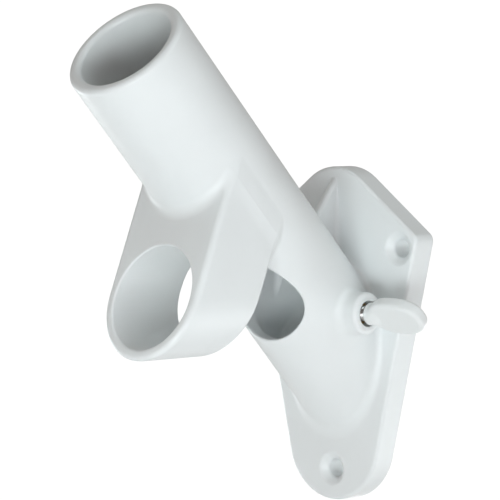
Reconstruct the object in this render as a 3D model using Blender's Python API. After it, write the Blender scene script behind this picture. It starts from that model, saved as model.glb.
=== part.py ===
"""Two-position rod holder: a moulded wall bracket with a tilted socket, a level ring and a side thumb screw.

Frame: +X to the right seen from the front, +Z up, and the wall behind at +Y. The origin is where the tilted
socket's axis meets the wall face. All sizes are in metres.
"""

from math import acos, atan2, cos, hypot, pi, radians, sin, sqrt, tau

import bmesh
import bpy
from mathutils import Matrix, Vector

# Socket tube, whose axis climbs away from the wall
TILT = radians(45)
TUBE_R = 0.0165
BORE_R = 0.0132
TUBE_LENGTH = 0.1245
BORE_FLOOR = 0.0170
FLOOR_WEB = 0.0030
RIM_ROUNDING = 0.0009

# Back plate, outlined by four discs in the XZ plane: (x, z, radius)
PLATE_THICKNESS = 0.0075
PLATE_TOP = (0.0, 0.0412, 0.0150)
PLATE_LEFT = (-0.0267, 0.0367, 0.0026)
PLATE_RIGHT = (0.0267, 0.0367, 0.0026)
PLATE_FOOT = (0.0, -0.0188, 0.0161)
PLATE_ROUNDING = 0.0010
PLATE_SKIN = 0.0030
PLATE_WALL = 0.0022
FOOT_RIB_HALF = 0.0020

# Countersunk holes in the plate: (x, z)
SCREW_HOLES = ((-0.0231, 0.0347), (0.0231, 0.0347), (0.0, -0.0264))
HOLE_R = 0.0026
SINK_R = 0.0044
SINK_DEPTH = 0.0015
HOLE_BOSS_R = 0.0058
RIB_THICKNESS = 0.0024

# Level ring under the tube
RING_Z = 0.0237
RING_R = 0.0161
RING_FRONT = 0.0779
RING_BACK = 0.0532
RING_LEAN = radians(22.5)
LEVEL_BORE_END = 0.0160

# Gusset between the tube and the top of the plate
GUSSET_THICKNESS = 0.0026
GUSSET_TOP_Z = 0.0532
GUSSET_REACH = 0.0099

# Side boss and the parts of the thumb screw, placed along +X
SCREW_AT = 0.0250
BOSS_R = 0.0057
BOSS_FACE = 0.0217
BOSS_ROUNDING = 0.0010
BOSS_HOLE_R = 0.0034
INSERT_R = 0.0031
INSERT_BORE_R = 0.0024
INSERT_START = 0.0140
INSERT_LENGTH = 0.0052
GROOVE_DEPTH = 0.00025
SHANK_R = 0.0021
SHANK_TIP = 0.0137
SHANK_SHOULDER = 0.0219
TIP_CHAMFER = 0.0005
TANG_R = 0.0011
TANG_END = 0.0312
NECK_R = 0.0030
NECK_START = 0.0222
NECK_SINK = 0.0010
HEAD_START = 0.0234
HEAD_LENGTH = 0.0171
HEAD_WIDTH = 0.0113
HEAD_THICKNESS = 0.0038
HEAD_ROUNDING = 0.0012
HEAD_SQUARENESS = 2.4
CLEARANCE = 0.0003

# How finely round shapes are divided, and how far helpers overlap or run past what they join or cut
ROUND_SEGMENTS = 64
SMALL_SEGMENTS = 32
OVERLAP = 0.0010
CUT_PAST = 0.0200
REACH = 0.1000

AXIS = Vector((0, -cos(TILT), sin(TILT)))
SCREW_CENTRE = AXIS * SCREW_AT
WHITE_PLASTIC = (0.80, 0.83, 0.84, 1.0)
BRASS = (0.78, 0.57, 0.28, 1.0)
STEEL = (0.72, 0.72, 0.71, 1.0)


def clear_scene():
    for old in list(bpy.data.objects):
        bpy.data.objects.remove(old, do_unlink=True)


def material(name, colour, metallic, roughness):
    made = bpy.data.materials.new(name)
    made.use_nodes = True
    shader = made.node_tree.nodes["Principled BSDF"]
    shader.inputs["Base Color"].default_value = colour
    shader.inputs["Metallic"].default_value = metallic
    shader.inputs["Roughness"].default_value = roughness
    return made


def object_from(name, shape, finish=None):
    """Turns a bmesh into an object of the scene, with its faces pointing out."""
    bmesh.ops.recalc_face_normals(shape, faces=shape.faces)
    mesh = bpy.data.meshes.new(name)
    shape.to_mesh(mesh)
    shape.free()
    mesh.shade_smooth()
    mesh.set_sharp_from_angle(angle=radians(35))
    made = bpy.data.objects.new(name, mesh)
    bpy.context.scene.collection.objects.link(made)
    if finish is not None:
        mesh.materials.append(finish)
    return made


def loft(name, rings, finish=None):
    """A closed solid through rings of equal point counts, with a flat cap at each end."""
    shape = bmesh.new()
    loops = [[shape.verts.new(point) for point in ring] for ring in rings]
    count = len(loops[0])
    for lower, upper in zip(loops, loops[1:]):
        for i in range(count):
            j = (i + 1) % count
            shape.faces.new((lower[i], lower[j], upper[j], upper[i]))
    shape.faces.new(loops[0])
    shape.faces.new(loops[-1])
    return object_from(name, shape, finish)


def turned(name, origin, axis, profile, segments=ROUND_SEGMENTS, finish=None):
    """A solid of revolution. The profile lists (distance along the axis, radius) from end to end."""
    turn = Vector(axis).to_track_quat("Z", "Y").to_matrix()
    rings = []
    for along, radius in profile:
        ring = []
        for i in range(segments):
            angle = tau * i / segments
            ring.append(Vector(origin) + turn @ Vector((radius * cos(angle), radius * sin(angle), along)))
        rings.append(ring)
    return loft(name, rings, finish)


def rounded_end(at, radius, rounding, steps=4):
    """Profile points that round the outer edge of a rod which ends at a distance along its axis."""
    points = []
    for i in range(steps + 1):
        turn = pi / 2 * i / steps
        points.append((at - rounding + rounding * sin(turn), radius - rounding + rounding * cos(turn)))
    return points


def flared_end(at, radius, rounding, steps=4):
    """Profile points of a bore cutter that rounds the bore's edge where it leaves the solid."""
    points = []
    for i in range(steps + 1):
        turn = pi / 2 * i / steps
        points.append((at - rounding + rounding * sin(turn), radius + rounding - rounding * cos(turn)))
    return points


def box(name, low, high):
    shape = bmesh.new()
    bmesh.ops.create_cube(shape, size=1.0)
    size = Matrix.Diagonal((*(b - a for a, b in zip(low, high)), 1.0))
    centre = Matrix.Translation([(a + b) / 2 for a, b in zip(low, high)])
    bmesh.ops.transform(shape, matrix=centre @ size, verts=shape.verts)
    return object_from(name, shape)


def combine(target, other, operation):
    """Adds a Boolean modifier and hides the other object, which is only a helper."""
    step = target.modifiers.new(other.name, "BOOLEAN")
    step.operation = operation
    step.solver = "EXACT"
    step.object = other
    other.hide_render = True
    other.display_type = "WIRE"


def tangent_angle(first, second):
    """Direction in which the line that touches both discs faces outwards, going anticlockwise."""
    dx = second[0] - first[0]
    dz = second[1] - first[1]
    return atan2(dz, dx) - acos((first[2] - second[2]) / hypot(dx, dz))


def plate_outline(inset, y):
    """The plate's outline, drawn in by an inset, as points at one depth."""
    discs = (PLATE_TOP, PLATE_LEFT, PLATE_FOOT, PLATE_RIGHT)
    points = []
    for i, disc in enumerate(discs):
        start = tangent_angle(discs[i - 1], disc)
        end = tangent_angle(disc, discs[(i + 1) % len(discs)])
        while end < start:
            end += tau
        steps = max(4, round((end - start) / radians(7)))
        for k in range(steps + 1):
            angle = start + (end - start) * k / steps
            radius = disc[2] - inset
            points.append((disc[0] + radius * cos(angle), y, disc[1] + radius * sin(angle)))
    return points


def plate():
    rings = [plate_outline(0, 0)]
    for along, inset in rounded_end(PLATE_THICKNESS, 0, PLATE_ROUNDING):
        rings.append(plate_outline(-inset, -along))
    return rings


def ring_outline(reach):
    """U-shaped outline of the ring on a leaning face that is this far from the wall at the bore's height."""
    lean = sin(RING_LEAN) / cos(RING_LEAN)
    top_z = (reach + lean * RING_Z) / (1 + lean)
    points = [(RING_R, top_z)]
    steps = ROUND_SEGMENTS // 2
    for i in range(steps + 1):
        angle = -pi * i / steps
        points.append((RING_R * cos(angle), RING_Z + RING_R * sin(angle)))
    points.append((-RING_R, top_z))
    return [(x, -reach + lean * (z - RING_Z), z) for x, z in points]


def gusset():
    """Thin web in the plane of symmetry, sunk into both the plate and the tube."""
    tube_top = sqrt(2) * TUBE_R
    front_y = -PLATE_THICKNESS - GUSSET_REACH
    corners = (
        (-PLATE_THICKNESS + OVERLAP, GUSSET_TOP_Z),
        (-PLATE_THICKNESS, GUSSET_TOP_Z),
        (front_y, tube_top - front_y),
        (front_y + OVERLAP, tube_top - front_y - 2 * OVERLAP),
        (-PLATE_THICKNESS + OVERLAP, tube_top),
    )
    half = GUSSET_THICKNESS / 2
    return [[(x, y, z) for y, z in corners] for x in (-half, half)]


def rib(name, start, end):
    """Straight stiffening rib behind the plate, from one point (x, z) to another."""
    run = Vector((end[0] - start[0], 0, end[1] - start[1]))
    side = Vector((run.z, 0, -run.x)).normalized() * RIB_THICKNESS / 2
    base = Vector((start[0], OVERLAP, start[1]))
    foot = [base - side, base + side, base + side + run, base - side + run]
    depth = Vector((0, -PLATE_THICKNESS + PLATE_SKIN / 2, 0))
    return loft(name, [foot, [point + depth for point in foot]])


def add_back_structure(body):
    """Hollows the plate from behind and leaves bosses round the holes with ribs to the tube's foot."""
    depth = PLATE_THICKNESS - PLATE_SKIN
    pocket = loft("back_pocket", [plate_outline(PLATE_WALL, CUT_PAST), plate_outline(PLATE_WALL, -depth)])
    combine(body, pocket, "DIFFERENCE")
    for i, (x, z) in enumerate(SCREW_HOLES):
        profile = [(-OVERLAP, HOLE_BOSS_R), (depth + OVERLAP, HOLE_BOSS_R)]
        pad = turned(f"hole_pad_{i}", (x, 0, z), (0, -1, 0), profile, SMALL_SEGMENTS)
        combine(body, pad, "UNION")
        hole = Vector((x, z))
        stay = rib(f"rib_{i}", hole - hole.normalized() * HOLE_BOSS_R / 2, hole / 2)
        combine(body, stay, "UNION")
    spine = rib("rib_top", (0, PLATE_TOP[1] + PLATE_TOP[2] - PLATE_WALL / 2), (0, TUBE_R))
    combine(body, spine, "UNION")


def add_tube(body):
    """The tilted tube, its level ring, the side boss and the gusset, joined to the plate."""
    profile = [(-CUT_PAST, TUBE_R), *rounded_end(TUBE_LENGTH, TUBE_R, RIM_ROUNDING)]
    combine(body, turned("tube_outside", (0, 0, 0), AXIS, profile), "UNION")
    combine(body, loft("ring_outside", [ring_outline(RING_FRONT), ring_outline(RING_BACK)]), "UNION")
    profile = [(BORE_R + OVERLAP, BOSS_R), *rounded_end(BOSS_FACE, BOSS_R, BOSS_ROUNDING, 2)]
    combine(body, turned("boss_outside", SCREW_CENTRE, (1, 0, 0), profile, SMALL_SEGMENTS), "UNION")
    combine(body, loft("gusset_web", gusset()), "UNION")


def foot_core():
    """Hollow behind the bore's floor, in line with the bore, split by a rib in the plane of symmetry."""
    core = turned("foot_core", (0, 0, 0), AXIS, [(-2 * CUT_PAST, BORE_R), (BORE_FLOOR - FLOOR_WEB, BORE_R)])
    middle = box("foot_rib", (-FOOT_RIB_HALF, -REACH, -REACH), (FOOT_RIB_HALF, REACH, REACH))
    combine(core, middle, "DIFFERENCE")
    return core


def cut_openings(body):
    """Trims everything flush with the wall, then cuts the two bores, the screw holes and the boss hole."""
    combine(body, box("wall_side", (-REACH, 0, -REACH), (REACH, REACH, REACH)), "DIFFERENCE")
    profile = [
        (BORE_FLOOR, BORE_R),
        *flared_end(TUBE_LENGTH, BORE_R, RIM_ROUNDING),
        (TUBE_LENGTH + CUT_PAST, BORE_R + RIM_ROUNDING),
    ]
    combine(body, turned("tilted_bore", (0, 0, 0), AXIS, profile), "DIFFERENCE")
    combine(body, foot_core(), "DIFFERENCE")
    profile = [(LEVEL_BORE_END, BORE_R), (RING_FRONT + CUT_PAST, BORE_R)]
    combine(body, turned("level_bore", (0, 0, RING_Z), (0, -1, 0), profile), "DIFFERENCE")
    for i, (x, z) in enumerate(SCREW_HOLES):
        profile = [
            (-OVERLAP, HOLE_R),
            (PLATE_THICKNESS - SINK_DEPTH, HOLE_R),
            (PLATE_THICKNESS, SINK_R),
            (PLATE_THICKNESS + OVERLAP, SINK_R),
        ]
        hole = turned(f"hole_cutter_{i}", (x, 0, z), (0, -1, 0), profile, SMALL_SEGMENTS)
        combine(body, hole, "DIFFERENCE")
    profile = [(0, BOSS_HOLE_R), (BOSS_FACE + OVERLAP, BOSS_HOLE_R)]
    combine(body, turned("boss_hole", SCREW_CENTRE, (1, 0, 0), profile, SMALL_SEGMENTS), "DIFFERENCE")


def bracket_body(finish):
    body = loft("bracket_body", plate(), finish)
    add_back_structure(body)
    add_tube(body)
    cut_openings(body)


def threaded_insert(finish):
    """Brass bush in the boss, with a groove round its middle that keys it into the plastic."""
    end = INSERT_START + INSERT_LENGTH
    groove = INSERT_R - GROOVE_DEPTH
    third = INSERT_LENGTH / 3
    outside = [
        (INSERT_START, INSERT_R),
        (INSERT_START + third, INSERT_R),
        (INSERT_START + third, groove),
        (end - third, groove),
        (end - third, INSERT_R),
        (end, INSERT_R),
    ]
    insert = turned("threaded_insert", SCREW_CENTRE, (1, 0, 0), outside, SMALL_SEGMENTS, finish)
    bore = [(INSERT_START - OVERLAP, INSERT_BORE_R), (end + OVERLAP, INSERT_BORE_R)]
    combine(insert, turned("insert_thread", SCREW_CENTRE, (1, 0, 0), bore, SMALL_SEGMENTS), "DIFFERENCE")


def thumb_screw_shank(finish, carriage):
    """Round shank with a blunt tip and a thin tang that the head grips."""
    profile = [
        (SHANK_TIP, SHANK_R - TIP_CHAMFER),
        (SHANK_TIP + TIP_CHAMFER, SHANK_R),
        (SHANK_SHOULDER, SHANK_R),
        (SHANK_SHOULDER, TANG_R),
        (TANG_END, TANG_R),
    ]
    shank = turned("thumb_screw_shank", (0, 0, 0), (1, 0, 0), profile, SMALL_SEGMENTS, finish)
    shank.parent = carriage


def head_outline(inset, height):
    """Superellipse outline of the head, drawn in by an inset, at one height over its mid plane."""
    half_length = HEAD_LENGTH / 2
    half_width = HEAD_WIDTH / 2
    power = 2 / HEAD_SQUARENESS
    points = []
    for i in range(ROUND_SEGMENTS):
        angle = tau * i / ROUND_SEGMENTS
        c = cos(angle)
        s = sin(angle)
        along = (half_length - inset) * (abs(c) ** power) * (1 if c > 0 else -1)
        across = (half_width - inset) * (abs(s) ** power) * (1 if s > 0 else -1)
        points.append((HEAD_START + half_length + along, across, height))
    return points


def thumb_screw_head(finish, carriage):
    """Flat oval head with a round neck, and a blind socket for the tang."""
    half = HEAD_THICKNESS / 2
    edge = rounded_end(half, 0, HEAD_ROUNDING, 3)
    lower = [head_outline(-inset, -height) for height, inset in reversed(edge)]
    upper = [head_outline(-inset, height) for height, inset in edge]
    head = loft("thumb_screw_head", lower + upper, finish)
    profile = [(NECK_START, NECK_R), (HEAD_START + NECK_SINK, NECK_R)]
    neck = turned("head_neck", (0, 0, 0), (1, 0, 0), profile, SMALL_SEGMENTS)
    combine(head, neck, "UNION")
    profile = [(NECK_START - OVERLAP, TANG_R + CLEARANCE), (TANG_END + CLEARANCE, TANG_R + CLEARANCE)]
    socket = turned("tang_socket", (0, 0, 0), (1, 0, 0), profile, SMALL_SEGMENTS)
    combine(head, socket, "DIFFERENCE")
    for piece in (head, neck, socket):
        piece.parent = carriage


def screw_carriage():
    """Empty on the thumb screw's axis, turned so that its Y axis lies along the tube."""
    carriage = bpy.data.objects.new("screw_carriage", None)
    bpy.context.scene.collection.objects.link(carriage)
    carriage.location = SCREW_CENTRE
    carriage.rotation_euler = (pi - TILT, 0, 0)
    return carriage


def main():
    clear_scene()
    white = material("white_plastic", WHITE_PLASTIC, 0.0, 0.25)
    brass = material("brass", BRASS, 1.0, 0.35)
    steel = material("steel", STEEL, 1.0, 0.30)
    bracket_body(white)
    threaded_insert(brass)
    carriage = screw_carriage()
    thumb_screw_shank(steel, carriage)
    thumb_screw_head(white, carriage)


main()
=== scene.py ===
"""Looks of a two-position rod holder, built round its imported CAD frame.

The holder is one white moulding on a wall plate: a tilted socket tube, a level ring under it, a thin gusset
and a side boss with a thumb screw. Shapes are worked out in millimetres in the frame's axes (+X right,
+Y into the wall, +Z up) and scaled to metres as each mesh is made.
"""

from math import acos, atan2, cos, hypot, radians, sin, tau

import bpy
import numpy as np
from mathutils import Matrix, Vector


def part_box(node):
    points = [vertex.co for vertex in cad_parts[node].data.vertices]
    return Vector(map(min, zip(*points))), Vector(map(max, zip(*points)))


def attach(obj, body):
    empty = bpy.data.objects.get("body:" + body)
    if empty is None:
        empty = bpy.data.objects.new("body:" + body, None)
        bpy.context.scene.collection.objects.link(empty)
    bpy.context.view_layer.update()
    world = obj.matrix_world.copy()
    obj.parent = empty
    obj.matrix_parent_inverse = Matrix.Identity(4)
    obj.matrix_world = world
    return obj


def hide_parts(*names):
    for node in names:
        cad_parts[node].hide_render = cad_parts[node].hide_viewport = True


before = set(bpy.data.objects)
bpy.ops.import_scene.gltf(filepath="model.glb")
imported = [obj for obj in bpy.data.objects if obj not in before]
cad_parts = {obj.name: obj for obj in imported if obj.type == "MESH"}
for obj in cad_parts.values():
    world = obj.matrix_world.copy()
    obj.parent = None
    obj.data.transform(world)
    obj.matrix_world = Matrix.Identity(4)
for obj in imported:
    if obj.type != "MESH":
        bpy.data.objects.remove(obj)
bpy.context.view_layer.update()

MM = 0.001
TINY = 1e-12

# Socket tube, from the point where its axis meets the wall
TILT = radians(45)
TUBE_R = 16.5
BORE_R = 13.2
TUBE_LENGTH = 124.5
RIM_ROUNDING = 1.4
BORE_FLOOR = 17.0
FLOOR_WEB = 3.0
FLOOR_FILLET = 1.5
FOOT_RIB_HALF = 2.0

# Back plate, outlined by four discs: (x, z, radius)
PLATE_THICKNESS = 7.5
PLATE_DISCS = ((0.0, 41.2, 15.0), (-26.7, 36.7, 2.6), (0.0, -18.8, 16.1), (26.7, 36.7, 2.6))
PLATE_ROUNDING = 1.0
BACK_ROUNDING = 0.5

# Countersunk holes: (x, z)
SCREW_HOLES = ((-23.1, 34.7), (23.1, 34.7), (0.0, -26.4))
HOLE_R = 2.6
HOLE_DRAFT = 0.04
SINK_R = 4.4
SINK_DEPTH = 1.5
HOLE_ROUNDING = 0.3
HOLE_BACK_ROUNDING = 0.1

# Hollow behind the plate, with pads behind the holes, ribs, and round ejector marks: (x, z)
PLATE_SKIN = 3.0
PLATE_WALL = 2.2
PAD_R = 5.8
RIB_HALF = 1.2
RIB_FILLET = 0.6
POCKET_FILLET = 0.8
EJECTOR_MARKS = ((-9.0, 41.0), (9.0, 41.0), (-17.0, 22.0), (17.0, 22.0), (-10.5, -14.0), (10.5, -14.0))
EJECTOR_R = 1.7
EJECTOR_DEPTH = 0.25

# Level ring, and its bore, whose rounding grows from the ring's own edges to the hole under the tube
RING_Z = 23.7
RING_R = 16.1
RING_FRONT = 77.9
RING_BACK = 53.2
RING_LEAN = radians(22.5)
RING_ROUNDING = 1.7
LEVEL_BORE_END = 16.0
LEVEL_ROUNDING = 0.6
TUBE_HOLE_ROUNDING = 1.1
ROUNDING_START = -1.2 * TUBE_R
BORE_BLEND = 0.5

# Gusset, whose free edge falls from the plate's face to its foot on the tube: (distance from the wall, z)
GUSSET_HALF = 1.3
GUSSET_TOP = 53.2
GUSSET_FOOT = (17.4, 40.7)
GUSSET_ROUNDING = 1.0

# Side boss: its axis crosses the tube's this far up, and its face is this far to the right
SCREW_AT = 25.0
BOSS_R = 5.7
BOSS_FACE = 21.7
BOSS_ROUNDING = 1.2
BOSS_HOLE_R = 3.4
BOSS_HOLE_ROUNDING = 0.3

# Insert, shank and head, by their distance along +X
THREAD_PITCH = 0.794
THREAD_STEP = THREAD_PITCH / 6
INSERT_R = 3.1
INSERT_BORE_R = 2.4
INSERT_START = 14.0
INSERT_LENGTH = 5.2
INSERT_CHAMFER = 0.3
INSERT_THREAD = 0.3
GROOVE_DEPTH = 0.25
KNURLS = 36
KNURL_DEPTH = 0.18
KNURL_POINTS = 3 * KNURLS
SHANK_R = 2.1
SHANK_TIP = 13.7
SHANK_SHOULDER = 21.9
TIP_CHAMFER = 0.5
THREAD_DEPTH = 0.45
THREAD_POINTS = 48
TANG_R = 1.1
TANG_END = 31.2
TANG_CHAMFER = 0.3
SOCKET_CLEARANCE = 0.3
NECK_R = 3.0
NECK_START = 22.2
NECK_END = 26.6
NECK_TAPER = 2.4
NECK_ROUNDING = 0.3
NECK_FILLET = 0.9
HEAD_START = 23.4
HEAD_LENGTH = 17.1
HEAD_WIDTH = 11.3
HEAD_THICKNESS = 3.8
HEAD_ROUNDING = 1.2
HEAD_SQUARENESS = 2.4

# Fillets where the parts of the moulding meet; two of them fade out where the parts run together
TUBE_PLATE_FILLET = 2.0
BOSS_FILLET = 2.0
RING_FILLET = 2.4
RING_FADE = 6.0
RING_LEAST_SHARE = 0.01
GUSSET_FILLET = 1.8
GUSSET_FADE = 14.0
GUSSET_LEAST_SHARE = 0.1

# Grids of the meshes, and the share of the moulding's faces that is kept
GRID = 0.36
GRID_MARGIN = 1.3
KEPT_FACES = 0.24
HEAD_GRID = 0.22
SLOPE_STEP = 0.01
CELL_CORNERS = tuple((i, j, k) for i in (0, 1) for j in (0, 1) for k in (0, 1))


# The moulding as signed distances in millimetres, negative inside the material


def rounded_union(a, b, radius):
    """Joins two solids with a fillet where they meet."""
    near_a = np.maximum(radius - a, 0)
    near_b = np.maximum(radius - b, 0)
    return np.maximum(radius, np.minimum(a, b)) - np.hypot(near_a, near_b)


def rounded_overlap(a, b, radius):
    """What two solids share, with its edges rounded."""
    near_a = np.maximum(radius + a, 0)
    near_b = np.maximum(radius + b, 0)
    return np.minimum(-radius, np.maximum(a, b)) + np.hypot(near_a, near_b)


def rounded_cut(solid, cutter, radius):
    return rounded_overlap(solid, -cutter, radius)


def tangent_angle(first, second):
    """Direction in which the line that touches both discs faces outwards, going anticlockwise."""
    dx = second[0] - first[0]
    dz = second[1] - first[1]
    return atan2(dz, dx) - acos((first[2] - second[2]) / hypot(dx, dz))


def plate_outline(x, z):
    """Distance to the smallest convex outline that holds the plate's discs."""
    distance = np.full_like(x, -np.inf)
    for i, disc in enumerate(PLATE_DISCS):
        start = tangent_angle(PLATE_DISCS[i - 1], disc)
        end = tangent_angle(disc, PLATE_DISCS[(i + 1) % len(PLATE_DISCS)])
        dx = x - disc[0]
        dz = z - disc[1]
        side = dx * cos(end) + dz * sin(end) - disc[2]
        beside = (dz * cos(start) >= dx * sin(start)) & (dx * sin(end) >= dz * cos(end))
        arc = np.where(beside, np.hypot(dx, dz) - disc[2], -np.inf)
        distance = np.maximum(distance, np.maximum(side, arc))
    return distance


def ring_solid(x, y, z, over):
    """U-shaped ring between two leaning planes, reaching up into the tube's wall."""
    below = z < RING_Z
    side = np.where(below, np.hypot(x, z - RING_Z), np.abs(x)) - RING_R
    rise = (z - RING_Z) * sin(RING_LEAN)
    front = rise - (y + RING_FRONT) * cos(RING_LEAN)
    back = (y + RING_BACK) * cos(RING_LEAN) - rise
    return np.maximum(rounded_overlap(side, np.maximum(front, back), RING_ROUNDING), over)


def gusset_solid(x, y, z, over):
    """Thin web in the plane of symmetry, with a straight free edge from the plate to the tube."""
    run = GUSSET_FOOT[0] - PLATE_THICKNESS
    drop = GUSSET_TOP - GUSSET_FOOT[1]
    length = hypot(run, drop)
    edge = ((z - GUSSET_TOP) * run - (y + PLATE_THICKNESS) * drop) / length
    web = rounded_overlap(np.abs(x) - GUSSET_HALF, edge, GUSSET_ROUNDING)
    return np.maximum(np.maximum(web, -over), y + PLATE_THICKNESS - PLATE_ROUNDING)


def back_pocket(x, y, z, outline, tube):
    """Hollow behind the plate, around the tube's foot, the hole pads and the ribs between them."""
    from_skin = y + PLATE_THICKNESS - PLATE_SKIN
    lower_rib = np.maximum(np.abs(x) - RIB_HALF, -z)
    kept = np.minimum(tube, lower_rib)
    for hole_x, hole_z in SCREW_HOLES:
        pad = np.hypot(x - hole_x, z - hole_z) - PAD_R
        reach = hypot(hole_x, hole_z)
        along = (x * hole_x + z * hole_z) / reach
        across = np.abs(x * hole_z - z * hole_x) / reach
        rib = np.maximum(across - RIB_HALF, np.maximum(-along, along - reach))
        kept = np.minimum(kept, np.minimum(pad, rib))
    hollow = rounded_overlap(outline + PLATE_WALL, -from_skin, POCKET_FILLET)
    pocket = rounded_cut(hollow, kept, RIB_FILLET)
    for mark_x, mark_z in EJECTOR_MARKS:
        mark = np.hypot(x - mark_x, z - mark_z) - EJECTOR_R
        pocket = np.minimum(pocket, np.maximum(mark, np.abs(from_skin) - EJECTOR_DEPTH))
    return pocket


def screw_hole(x, y, z, hole_x, hole_z):
    """Countersunk hole that narrows a little towards the wall."""
    from_hole = np.hypot(x - hole_x, z - hole_z)
    depth = y + PLATE_THICKNESS
    slope = hypot(SINK_DEPTH, SINK_R - HOLE_R)
    cone = ((from_hole - SINK_R) * SINK_DEPTH + depth * (SINK_R - HOLE_R)) / slope
    cone = np.maximum(cone, from_hole - SINK_R)
    bore = from_hole - HOLE_R + depth * HOLE_DRAFT
    return rounded_union(bore, cone, HOLE_ROUNDING)


def rod_bores(x, y, z, along, bore_side):
    """The tilted bore and the level one, as a single void."""
    tilted = rounded_overlap(bore_side, BORE_FLOOR - along, FLOOR_FILLET)
    level = rounded_overlap(np.hypot(x, z - RING_Z) - BORE_R, y + LEVEL_BORE_END, FLOOR_FILLET)
    return rounded_union(tilted, level, BORE_BLEND)


def bracket_distance(x, y, z):
    """The whole moulding."""
    along = z * sin(TILT) - y * cos(TILT)
    over = z * cos(TILT) + y * sin(TILT)
    from_axis = np.hypot(x, over)
    from_screw = np.hypot(y + SCREW_AT * cos(TILT), z - SCREW_AT * sin(TILT))
    tube_side = from_axis - TUBE_R
    bore_side = from_axis - BORE_R
    outline = plate_outline(x, z)

    tube = rounded_overlap(tube_side, along - TUBE_LENGTH, RIM_ROUNDING)
    plate = rounded_overlap(outline, -(y + PLATE_THICKNESS), PLATE_ROUNDING)
    solid = rounded_union(tube, plate, TUBE_PLATE_FILLET)
    share = np.clip(-over / RING_FADE, RING_LEAST_SHARE, 1)
    solid = rounded_union(solid, ring_solid(x, y, z, over), RING_FILLET * share)
    share = np.clip((GUSSET_TOP - z) / GUSSET_FADE, GUSSET_LEAST_SHARE, 1)
    solid = rounded_union(solid, gusset_solid(x, y, z, over), GUSSET_FILLET * share)
    boss = rounded_overlap(from_screw - BOSS_R, x - BOSS_FACE, BOSS_ROUNDING)
    solid = rounded_union(solid, np.maximum(boss, -x), BOSS_FILLET)

    solid = rounded_overlap(solid, y, BACK_ROUNDING)
    solid = rounded_cut(solid, back_pocket(x, y, z, outline, tube_side), BACK_ROUNDING)
    core = np.maximum(bore_side, along - BORE_FLOOR + FLOOR_WEB)
    core = np.maximum(core, FOOT_RIB_HALF - np.abs(x))
    solid = rounded_cut(solid, core, BACK_ROUNDING)
    rounding = np.interp(over, (ROUNDING_START, -TUBE_R), (LEVEL_ROUNDING, TUBE_HOLE_ROUNDING))
    rounding = np.where(along > TUBE_LENGTH - TUBE_R, RIM_ROUNDING, rounding)
    solid = rounded_cut(solid, rod_bores(x, y, z, along, bore_side), rounding)
    rounding = np.where(y < -PLATE_THICKNESS / 2, HOLE_ROUNDING, HOLE_BACK_ROUNDING)
    for hole_x, hole_z in SCREW_HOLES:
        solid = rounded_cut(solid, screw_hole(x, y, z, hole_x, hole_z), rounding)
    return rounded_cut(solid, np.maximum(from_screw - BOSS_HOLE_R, -x), BOSS_HOLE_ROUNDING)


# Meshes from signed distances


def gradient(distance, points):
    """Unit vectors that point straight out of the surface."""
    slopes = np.empty_like(points)
    for axis in range(3):
        shift = np.zeros(3)
        shift[axis] = SLOPE_STEP
        ahead = distance(*(points + shift).T)
        behind = distance(*(points - shift).T)
        slopes[:, axis] = ahead - behind
    return slopes / np.maximum(np.linalg.norm(slopes, axis=1, keepdims=True), TINY)


def settle(distance, points, reach, rounds):
    """Moves points onto the surface where the distance is zero, none of them further than the reach."""
    start = points
    for _ in range(rounds):
        points = points - gradient(distance, points) * distance(*points.T)[:, None]
    moved = points - start
    length = np.linalg.norm(moved, axis=1, keepdims=True)
    return start + moved * np.minimum(1, reach / np.maximum(length, TINY))


def cell_points(values, at):
    """For each cell, the middle of the places where the surface crosses its edges, in grid steps."""
    total = np.zeros((len(at), 3))
    crossings = np.zeros(len(at))
    for first in CELL_CORNERS:
        for axis in range(3):
            if first[axis]:
                continue
            second = tuple(v + (k == axis) for k, v in enumerate(first))
            a = values[tuple((at + first).T)]
            b = values[tuple((at + second).T)]
            crossed = (a < 0) != (b < 0)
            share = np.where(crossed, a / np.where(crossed, a - b, 1), 0)
            point = np.array(first, float) + share[:, None] * (np.arange(3) == axis)
            total += point * crossed[:, None]
            crossings += crossed
    return at + total / crossings[:, None]


def net_quads(inside, number):
    """A quad for each grid edge that the surface crosses, through the points of the four cells round it."""
    quads = []
    for axis in range(3):
        side = np.roll((0, 1, 0), axis)
        up = np.roll((0, 0, 1), axis)
        here = np.moveaxis(inside, axis, 0)[:-1]
        ahead = np.moveaxis(inside, axis, 0)[1:]
        crossed = np.argwhere(np.moveaxis(here != ahead, 0, axis))
        outward = inside[tuple(crossed.T)]
        loop = [number[tuple((crossed - away).T)] for away in (side + up, up, 0 * up, side)]
        quad = np.stack(loop, axis=1)
        quads.append(np.where(outward[:, None], quad, quad[:, ::-1]))
    return np.concatenate(quads)


def surface_net(distance, low, high, spacing):
    """Quads round the surface: one point for each grid cell that it passes through."""
    counts = [int(np.ceil((high[k] - low[k]) / spacing)) + 1 for k in range(3)]
    lines = [low[k] + spacing * np.arange(counts[k]) for k in range(3)]
    y, z = np.meshgrid(lines[1], lines[2], indexing="ij")
    values = np.stack([distance(np.full_like(y, x), y, z) for x in lines[0]])
    inside = values < 0

    cells = tuple(count - 1 for count in counts)
    filled = np.zeros(cells, np.int8)
    for i, j, k in CELL_CORNERS:
        filled += inside[i:i + cells[0], j:j + cells[1], k:k + cells[2]]
    mixed = (filled > 0) & (filled < len(CELL_CORNERS))
    number = np.full(cells, -1)
    number[mixed] = np.arange(np.count_nonzero(mixed))
    points = np.array(low) + spacing * cell_points(values, np.argwhere(mixed))
    return points, net_quads(inside, number).tolist()


def mesh_object(name, points, faces):
    """Makes a smooth-shaded object from points in millimetres."""
    mesh = bpy.data.meshes.new(name)
    mesh.from_pydata(np.asarray(points) * MM, [], faces)
    mesh.shade_smooth()
    made = bpy.data.objects.new(name, mesh)
    bpy.context.scene.collection.objects.link(made)
    return made


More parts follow.
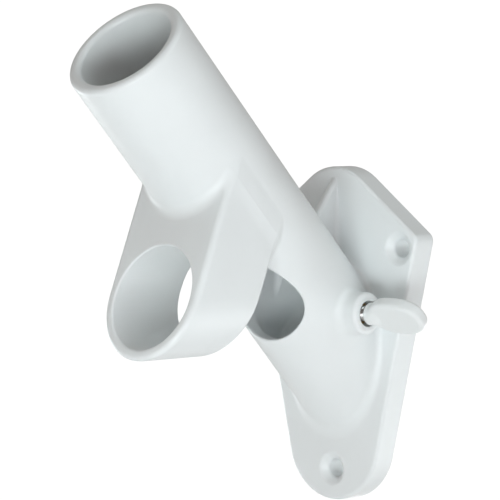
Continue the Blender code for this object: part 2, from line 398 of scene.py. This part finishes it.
def thinned(obj, share):
    """Merges faces where the mesh is flat, until this share of them is left."""
    thin = obj.modifiers.new("thin", "DECIMATE")
    thin.ratio = share
    bpy.context.view_layer.update()
    graph = bpy.context.evaluated_depsgraph_get()
    mesh = bpy.data.meshes.new_from_object(obj.evaluated_get(graph))
    obj.modifiers.clear()
    obj.data = mesh
    mesh.name = obj.name


def bracket_body(finish):
    """The moulding, meshed finely and then thinned where it is flat."""
    low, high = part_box("bracket_body")
    low = np.array(low) / MM - GRID_MARGIN
    high = np.array(high) / MM + GRID_MARGIN
    points, quads = surface_net(bracket_distance, low, high, GRID)
    body = mesh_object("bracket", settle(bracket_distance, points, GRID / 2, 3), quads)
    if KEPT_FACES < 1:
        thinned(body, KEPT_FACES)
    mesh = body.data
    points = np.empty(len(mesh.vertices) * 3)
    mesh.vertices.foreach_get("co", points)
    points = settle(bracket_distance, points.reshape(-1, 3) / MM, GRID / 4, 1)
    mesh.vertices.foreach_set("co", (points * MM).ravel())
    mesh.materials.append(finish)
    mesh.shade_smooth()
    mesh.normals_split_custom_set_from_vertices(gradient(bracket_distance, points))
    mesh.update()
    return body


# Thumb screw and insert


def screw_point(x, across, height):
    """A point given along the screw's axis, up the tube and square to both."""
    along = SCREW_AT + across
    return (x, -along * cos(TILT) - height * sin(TILT), along * sin(TILT) - height * cos(TILT))


def lofted(name, rings, finish, joined=False):
    """A skin through rings of equal point counts, capped at its ends or joined into a loop."""
    count = len(rings[0])
    points = [point for ring in rings for point in ring]
    levels = len(rings) if joined else len(rings) - 1
    faces = []
    for level in range(levels):
        base = level * count
        after = (level + 1) % len(rings) * count
        for i in range(count):
            j = (i + 1) % count
            faces.append((base + i, base + j, after + j, after + i))
    if not joined:
        faces.append(tuple(reversed(range(count))))
        faces.append(tuple(range(len(points) - count, len(points))))
    made = mesh_object(name, points, faces)
    made.data.materials.append(finish)
    return made


def screw_ring(x, radius_at, count):
    """Points round the screw's axis at one place along it."""
    ring = []
    for i in range(count):
        angle = tau * i / count
        radius = radius_at(x, angle)
        ring.append(screw_point(x, radius * cos(angle), radius * sin(angle)))
    return ring


def thread_wave(x, angle):
    """Height of a thread's flank from 0 at the root to 1 at the crest, with both cut flat."""
    turn = (x / THREAD_PITCH - angle / tau) % 1
    return min(max(1.5 - abs(4 * turn - 2), 0), 1)


def stations(start, end, spacing):
    """Places from start to end, evenly spaced and close to the given spacing."""
    count = max(round((end - start) / spacing), 1)
    return [start + (end - start) * i / count for i in range(count + 1)]


def threaded_shank(finish):
    """Screw shank with its thread cut all the way round, a chamfered tip and a plain tang."""

    def thread(x, angle):
        crest = SHANK_R - THREAD_DEPTH * (1 - thread_wave(x, angle))
        tip = SHANK_R - TIP_CHAMFER + x - SHANK_TIP
        shoulder = SHANK_R - THREAD_DEPTH + SHANK_SHOULDER - x
        return min(crest, tip, shoulder)

    def tang(x, angle):
        return TANG_R - max(x - TANG_END + TANG_CHAMFER, 0)

    rings = [screw_ring(x, thread, THREAD_POINTS) for x in stations(SHANK_TIP, SHANK_SHOULDER, THREAD_STEP)]
    rings.append(screw_ring(SHANK_SHOULDER, tang, THREAD_POINTS))
    rings.append(screw_ring(TANG_END - TANG_CHAMFER, tang, THREAD_POINTS))
    rings.append(screw_ring(TANG_END, tang, THREAD_POINTS))
    return lofted("screw_thread", rings, finish)


def knurled_insert(finish):
    """Bush with two knurled bands, a plain groove between them and a threaded bore."""
    end = INSERT_START + INSERT_LENGTH
    third = INSERT_LENGTH / 3

    def outside(x, angle):
        edge = min(x - INSERT_START, end - x)
        if third < x - INSERT_START < 2 * third:
            return INSERT_R - GROOVE_DEPTH
        knurl = KNURL_DEPTH * abs((angle / tau * KNURLS) % 1 * 2 - 1)
        return INSERT_R - knurl - max(INSERT_CHAMFER - edge, 0)

    def inside(x, angle):
        edge = min(x - INSERT_START, end - x)
        thread = INSERT_BORE_R + INSERT_THREAD * (thread_wave(x, angle) - 0.5)
        return max(thread, INSERT_BORE_R + INSERT_CHAMFER - edge)

    levels = stations(INSERT_START, end, THREAD_STEP)
    rings = [screw_ring(x, outside, KNURL_POINTS) for x in levels]
    rings += [screw_ring(x, inside, KNURL_POINTS) for x in reversed(levels)]
    return lofted("knurled_bush", rings, finish, joined=True)


def head_distance(x, across, height):
    """Flat oval head with softly rounded edges, a filleted neck and a blind socket for the tang."""
    half_length = HEAD_LENGTH / 2
    half_width = HEAD_WIDTH / 2
    power = HEAD_SQUARENESS
    u = np.abs(x - HEAD_START - half_length) / half_length
    v = np.abs(across) / half_width
    size = np.maximum((u ** power + v ** power) ** (1 / power), TINY)
    slope = np.hypot((u / size) ** (power - 1) / half_length, (v / size) ** (power - 1) / half_width)
    outline = (size - 1) / slope
    from_axis = np.hypot(across, height)
    head = rounded_overlap(outline, np.abs(height) - HEAD_THICKNESS / 2, HEAD_ROUNDING)
    neck = rounded_overlap(from_axis - NECK_R, x - NECK_END, NECK_TAPER)
    neck = rounded_overlap(neck, NECK_START - x, NECK_ROUNDING)
    solid = rounded_union(head, neck, NECK_FILLET)
    socket = np.maximum(from_axis - TANG_R, x - TANG_END) - SOCKET_CLEARANCE
    return rounded_cut(solid, socket, NECK_ROUNDING)


def oval_head(finish):
    """The head's mesh, made along its own axes and then turned into place."""
    half_width = HEAD_WIDTH / 2 + HEAD_GRID
    half_height = max(HEAD_THICKNESS / 2, NECK_R) + HEAD_GRID
    low = (NECK_START - HEAD_GRID, -half_width, -half_height)
    high = (HEAD_START + HEAD_LENGTH + HEAD_GRID, half_width, half_height)
    points, quads = surface_net(head_distance, low, high, HEAD_GRID)
    points = settle(head_distance, points, HEAD_GRID / 2, 3)
    normals = gradient(head_distance, points)
    placed = np.array([screw_point(*point) for point in points])
    middle = np.array(screw_point(0, 0, 0))
    turned = np.array([screw_point(*normal) for normal in normals]) - middle
    head = mesh_object("oval_head", placed, quads)
    head.data.materials.append(finish)
    head.data.normals_split_custom_set_from_vertices(turned)
    return head


# Materials

MOTTLE_SCALE = 55.0
MOTTLE_SHADE = 0.975
PEEL_SCALE = 260.0
GRAIN_SCALE = 1800.0
SHEEN_SPREAD = 0.04
TARNISH_SCALE = 400.0
TARNISH_SHADE = 0.8
TOOL_RING_SCALE = 1500.0
METAL_SPREAD = 0.1


def node(tree, kind, **settings):
    """Adds a node; a setting is an input's value where there is an input of that name."""
    made = tree.nodes.new(kind)
    for key, value in settings.items():
        if key in made.inputs:
            made.inputs[key].default_value = value
        else:
            setattr(made, key, value)
    return made


def new_material(name):
    made = bpy.data.materials.new(name)
    made.use_nodes = True
    return made, made.node_tree, made.node_tree.nodes["Principled BSDF"]


def fixed(tree, texture):
    """Ties a texture to the piece's own coordinates, so that it moves with the piece."""
    place = node(tree, "ShaderNodeTexCoord")
    tree.links.new(place.outputs["Object"], texture.inputs["Vector"])
    return texture.outputs["Fac"]


def noise(tree, scale, detail):
    return fixed(tree, node(tree, "ShaderNodeTexNoise", Scale=scale, Detail=detail))


def shaded(tree, shader, pattern, colour, shade, start, end):
    """Colours the piece, darkened by the shade where the pattern is low."""
    tint = node(tree, "ShaderNodeValToRGB")
    dark, light = tint.color_ramp.elements
    dark.color = (*(c * shade for c in colour), 1)
    dark.position = start
    light.color = (*colour, 1)
    light.position = end
    tree.links.new(pattern, tint.inputs["Fac"])
    tree.links.new(tint.outputs["Color"], shader.inputs["Base Color"])


def uneven(tree, shader, pattern, roughness, spread, start=0.0, end=1.0):
    """Lets the roughness follow the pattern."""
    sheen = node(tree, "ShaderNodeMapRange")
    sheen.inputs["From Min"].default_value = start
    sheen.inputs["From Max"].default_value = end
    sheen.inputs["To Min"].default_value = roughness - spread
    sheen.inputs["To Max"].default_value = roughness + spread
    tree.links.new(pattern, sheen.inputs["Value"])
    tree.links.new(sheen.outputs["Result"], shader.inputs["Roughness"])


def bumped(tree, pattern, strength, distance):
    """Relief that follows the pattern, for another bump or the shader to take up."""
    bump = node(tree, "ShaderNodeBump", Strength=strength, Distance=distance)
    tree.links.new(pattern, bump.inputs["Height"])
    return bump


def moulded_plastic(name, colour, roughness):
    """Glossy moulding: faint flow mottling, uneven sheen, a slight orange peel and a fine grain."""
    made, tree, shader = new_material(name)
    mottle = noise(tree, MOTTLE_SCALE, 3.0)
    shaded(tree, shader, mottle, colour, MOTTLE_SHADE, start=0.3, end=0.7)
    uneven(tree, shader, mottle, roughness, SHEEN_SPREAD, start=0.3, end=0.7)
    peel = bumped(tree, noise(tree, PEEL_SCALE, 1.0), strength=0.25, distance=0.0002)
    grain = bumped(tree, noise(tree, GRAIN_SCALE, 2.0), strength=0.12, distance=0.00005)
    tree.links.new(peel.outputs["Normal"], grain.inputs["Normal"])
    tree.links.new(grain.outputs["Normal"], shader.inputs["Normal"])
    return made


def turned_metal(name, colour, roughness):
    """Machined metal: fine tool rings across the screw's axis, slight tarnish and uneven sheen."""
    made, tree, shader = new_material(name)
    shader.inputs["Metallic"].default_value = 1.0
    tarnish = noise(tree, TARNISH_SCALE, 4.0)
    shaded(tree, shader, tarnish, colour, TARNISH_SHADE, start=0.3, end=0.6)
    uneven(tree, shader, tarnish, roughness, METAL_SPREAD)
    wave = node(tree, "ShaderNodeTexWave", bands_direction="X", Scale=TOOL_RING_SCALE, Distortion=0.4)
    rings = bumped(tree, fixed(tree, wave), strength=0.15, distance=0.00005)
    tree.links.new(rings.outputs["Normal"], shader.inputs["Normal"])
    return made


# Studio

SKY_COLOUR = (1.0, 0.83, 0.77)
SKY_STRENGTH = 0.28
SEEN_STRENGTH = 1.05
FLOOR_Z = -160
FLOOR_HALF = 4000

# Square soft lights, fitted to the photo's tones: (azimuth, elevation, metres away, watts, colour)
LIGHT_AIM = Vector((0, -0.045, 0.03))
SOFT_LIGHTS = (
    (30, -20, 0.516, 2.13, (0.91, 0.99, 1.0)),
    (60, -20, 0.516, 0.81, (0.96, 0.94, 1.0)),
    (-90, -20, 0.516, 1.34, (0.92, 0.98, 1.0)),
    (120, 40, 1.0, 2.96, (0.85, 0.98, 1.0)),
    (150, -35, 0.308, 0.22, (0.97, 1.0, 1.0)),
    (0, 65, 1.0, 1.34, (0.80, 0.98, 1.0)),
    (-160, -25, 0.410, 0.57, (1.0, 1.0, 1.0)),
)


def direction(azimuth, elevation):
    """Unit vector from the object: azimuth 0 is out from the wall, 90 is to the right."""
    return Vector((sin(azimuth) * cos(elevation), -cos(azimuth) * cos(elevation), sin(elevation)))


def soft_light(name, azimuth, elevation, distance, power, colour):
    """Square light that faces the object and is half as wide as it is far away."""
    light = bpy.data.lights.new(name, "AREA")
    light.shape = "SQUARE"
    light.size = distance / 2
    light.energy = power
    light.color = colour
    away = direction(radians(azimuth), radians(elevation))
    made = bpy.data.objects.new(name, light)
    bpy.context.scene.collection.objects.link(made)
    made.location = LIGHT_AIM + away * distance
    made.rotation_euler = (-away).to_track_quat("-Z", "Y").to_euler()
    made.visible_camera = False


# Camera, fitted to the photo: its aim is to the side of the point that it stands off from, and above it
CAMERA_AZIMUTH = radians(41.56)
CAMERA_ELEVATION = radians(4.77)
CAMERA_ROLL = radians(0.39)
CAMERA_DISTANCE = 0.8902
CAMERA_FOCUS = Vector((0, -0.0075, 0.0075))
CAMERA_RIGHT = -0.02263
CAMERA_UP = 0.02590
CAMERA_LENS = 234.72
CAMERA_SENSOR = 36.0
NEAREST_SEEN = 0.05
FURTHEST_SEEN = 50


def camera():
    """Stands off from the tube's foot and aims up and to the left of it, to see the whole holder."""
    away = direction(CAMERA_AZIMUTH, CAMERA_ELEVATION)
    level = Vector((cos(CAMERA_AZIMUTH), sin(CAMERA_AZIMUTH), 0))
    upright = away.cross(level)
    right = level * cos(CAMERA_ROLL) + upright * sin(CAMERA_ROLL)
    up = upright * cos(CAMERA_ROLL) - level * sin(CAMERA_ROLL)
    stand = CAMERA_FOCUS + away * CAMERA_DISTANCE
    aim = CAMERA_FOCUS + right * CAMERA_RIGHT + up * CAMERA_UP
    back = (stand - aim).normalized()
    right = up.cross(back).normalized()
    up = back.cross(right)
    data = bpy.data.cameras.new("camera")
    data.sensor_width = CAMERA_SENSOR
    data.lens = CAMERA_LENS
    data.clip_start = NEAREST_SEEN
    data.clip_end = FURTHEST_SEEN
    made = bpy.data.objects.new("camera", data)
    made.matrix_world = Matrix((
        (right.x, up.x, back.x, stand.x),
        (right.y, up.y, back.y, stand.y),
        (right.z, up.z, back.z, stand.z),
        (0, 0, 0, 1),
    ))
    bpy.context.scene.collection.objects.link(made)
    bpy.context.scene.camera = made


def seen_white(tree, shader, surface, kind):
    """The camera sees plain white where other rays meet the shader."""
    white = node(tree, kind)
    white.inputs["Color"].default_value = (1, 1, 1, 1)
    white.inputs["Strength"].default_value = SEEN_STRENGTH
    path = node(tree, "ShaderNodeLightPath")
    mix = node(tree, "ShaderNodeMixShader")
    tree.links.new(path.outputs["Is Camera Ray"], mix.inputs[0])
    tree.links.new(shader.outputs[0], mix.inputs[1])
    tree.links.new(white.outputs[0], mix.inputs[2])
    tree.links.new(mix.outputs[0], surface)


def studio():
    """A dim warm sky, seen as white, and the soft lights."""
    scene = bpy.context.scene
    scene.view_settings.view_transform = "Standard"
    scene.world = bpy.data.worlds.new("studio")
    scene.world.use_nodes = True
    tree = scene.world.node_tree
    sky = tree.nodes["Background"]
    sky.inputs["Color"].default_value = (*SKY_COLOUR, 1)
    sky.inputs["Strength"].default_value = SKY_STRENGTH
    surface = tree.nodes["World Output"].inputs["Surface"]
    seen_white(tree, sky, surface, "ShaderNodeBackground")
    for number, light in enumerate(SOFT_LIGHTS):
        soft_light(f"soft_light_{number + 1}", *light)


def floor():
    """Pale paper well below the holder, seen as white."""
    signs = ((-1, -1), (1, -1), (1, 1), (-1, 1))
    corners = [(FLOOR_HALF * i, FLOOR_HALF * j, FLOOR_Z) for i, j in signs]
    made = mesh_object("floor", corners, [(0, 1, 2, 3)])
    paper, tree, shader = new_material("floor_paper")
    shader.inputs["Base Color"].default_value = (0.95, 0.95, 0.95, 1)
    shader.inputs["Roughness"].default_value = 0.9
    surface = tree.nodes["Material Output"].inputs["Surface"]
    seen_white(tree, shader, surface, "ShaderNodeEmission")
    made.data.materials.append(paper)


# The object

body = bracket_body(moulded_plastic("white_moulding", (0.765, 0.80, 0.805), 0.40))
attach(body, "bracket")
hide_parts("bracket_body")

insert = knurled_insert(turned_metal("turned_brass", (0.78, 0.57, 0.28), 0.34))
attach(insert, "bracket")
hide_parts("threaded_insert")

shank = threaded_shank(turned_metal("plated_steel", (0.72, 0.72, 0.71), 0.28))
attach(shank, "screw_shank")
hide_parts("thumb_screw_shank")

head = oval_head(moulded_plastic("white_head", (0.77, 0.80, 0.80), 0.36))
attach(head, "screw_head")
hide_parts("thumb_screw_head")

camera()
studio()
floor()
